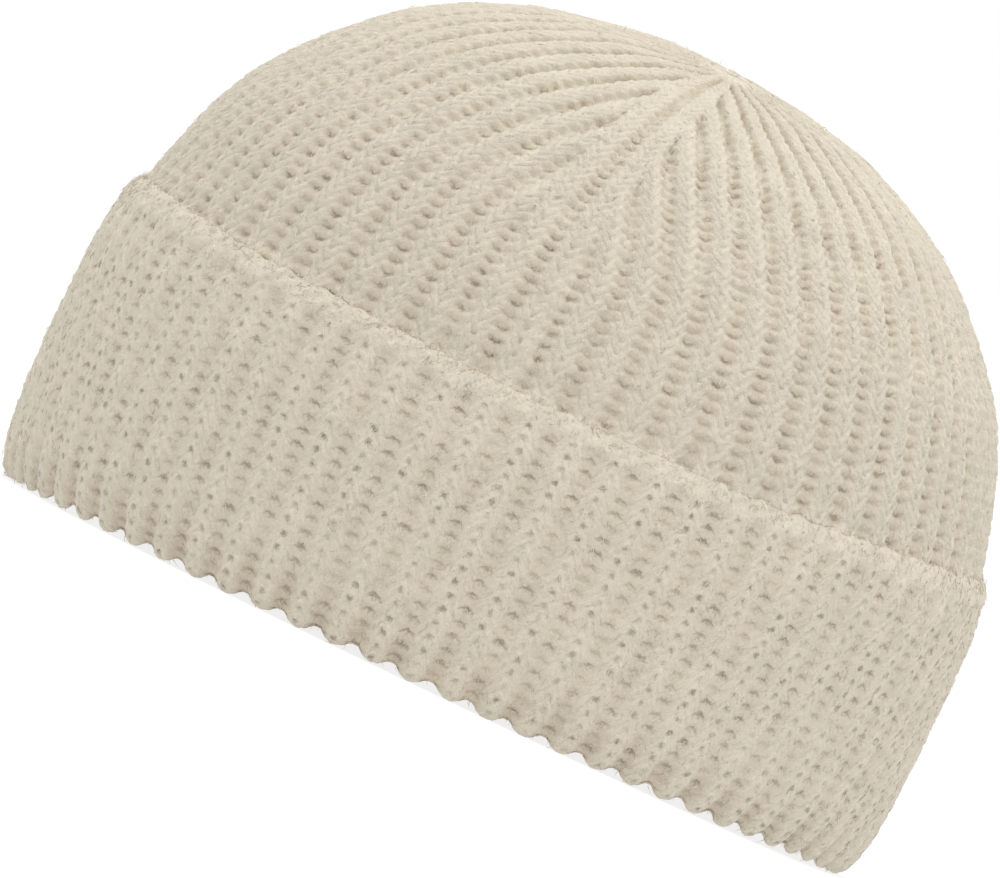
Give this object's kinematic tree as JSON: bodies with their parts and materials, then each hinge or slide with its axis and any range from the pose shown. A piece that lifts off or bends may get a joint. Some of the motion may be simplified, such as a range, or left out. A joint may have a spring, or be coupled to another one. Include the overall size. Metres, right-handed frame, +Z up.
{
  "type": "fisherman beanie",
  "caption": "Ribbed knit fisherman beanie: a soft round crown drawn in at the top, with a deep turned-up cuff and an open hollow for the head.",
  "frame": {"origin": "centre of the rim, on the plane the cap rests on", "axes": "+Z up out of the crown, +X across the wide side towards the picture's right, -Y towards the front, the side the picture shows"},
  "size_m": [0.2038, 0.1878, 0.1438],
  "materials": {
    "knit": "soft fuzzy wool-like yarn, matt cream, ribbed knit"
  },
  "bodies": {
    "root": {"crown": "knit", "cuff": "knit"}
  },
  "joints": []
}
